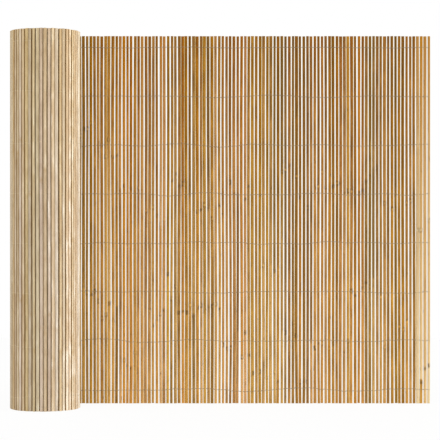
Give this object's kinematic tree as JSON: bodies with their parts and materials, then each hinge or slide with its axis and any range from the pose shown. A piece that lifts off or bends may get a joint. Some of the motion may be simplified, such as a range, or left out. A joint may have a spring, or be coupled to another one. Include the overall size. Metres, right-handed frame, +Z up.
{
  "type": "bamboo fence panel",
  "caption": "Upright split-bamboo slat mat bound by rows of wire: one end laid out flat as a fence panel, the rest standing as a roll.",
  "frame": {"origin": "middle of the bounding box at the lower slat ends, where the panel stands on the ground", "axes": "+X along the flat run towards its free edge, +Y from the brown skin side through to the pale back, +Z up along the slats"},
  "size_m": [1.1322, 0.1914, 1],
  "materials": {
    "bamboo": "dry split bamboo, brown skin and pale pith face",
    "galvanised_wire": "dull zinc"
  },
  "bodies": {
    "root": {"slats_001_to_010": "bamboo", "slats_011_to_020": "bamboo", "slats_021_to_030": "bamboo", "slats_031_to_040": "bamboo", "slats_041_to_050": "bamboo", "slats_051_to_060": "bamboo", "slats_061_to_070": "bamboo", "slats_071_to_080": "bamboo", "slats_081_to_090": "bamboo", "slats_091_to_100": "bamboo", "slats_101_to_110": "bamboo", "slats_111_to_120": "bamboo", "slats_121_to_130": "bamboo", "slats_131_to_140": "bamboo", "slats_141_to_150": "bamboo", "slats_151_to_160": "bamboo", "slats_161_to_170": "bamboo", "slats_171_to_180": "bamboo", "slats_181_to_190": "bamboo", "slats_191_to_200": "bamboo", "slats_201_to_210": "bamboo", "slats_211_to_220": "bamboo", "slats_221_to_230": "bamboo", "slats_231_to_240": "bamboo", "slats_241_to_250": "bamboo", "slats_251_to_260": "bamboo", "slats_261_to_270": "bamboo", "slats_271_to_280": "bamboo", "slats_281_to_290": "bamboo", "binding_wire_1": "galvanised_wire", "binding_wire_2": "galvanised_wire", "binding_wire_3": "galvanised_wire", "binding_wire_4": "galvanised_wire", "binding_wire_5": "galvanised_wire", "binding_wire_6": "galvanised_wire", "binding_wire_7": "galvanised_wire", "binding_wire_8": "galvanised_wire"}
  },
  "joints": []
}
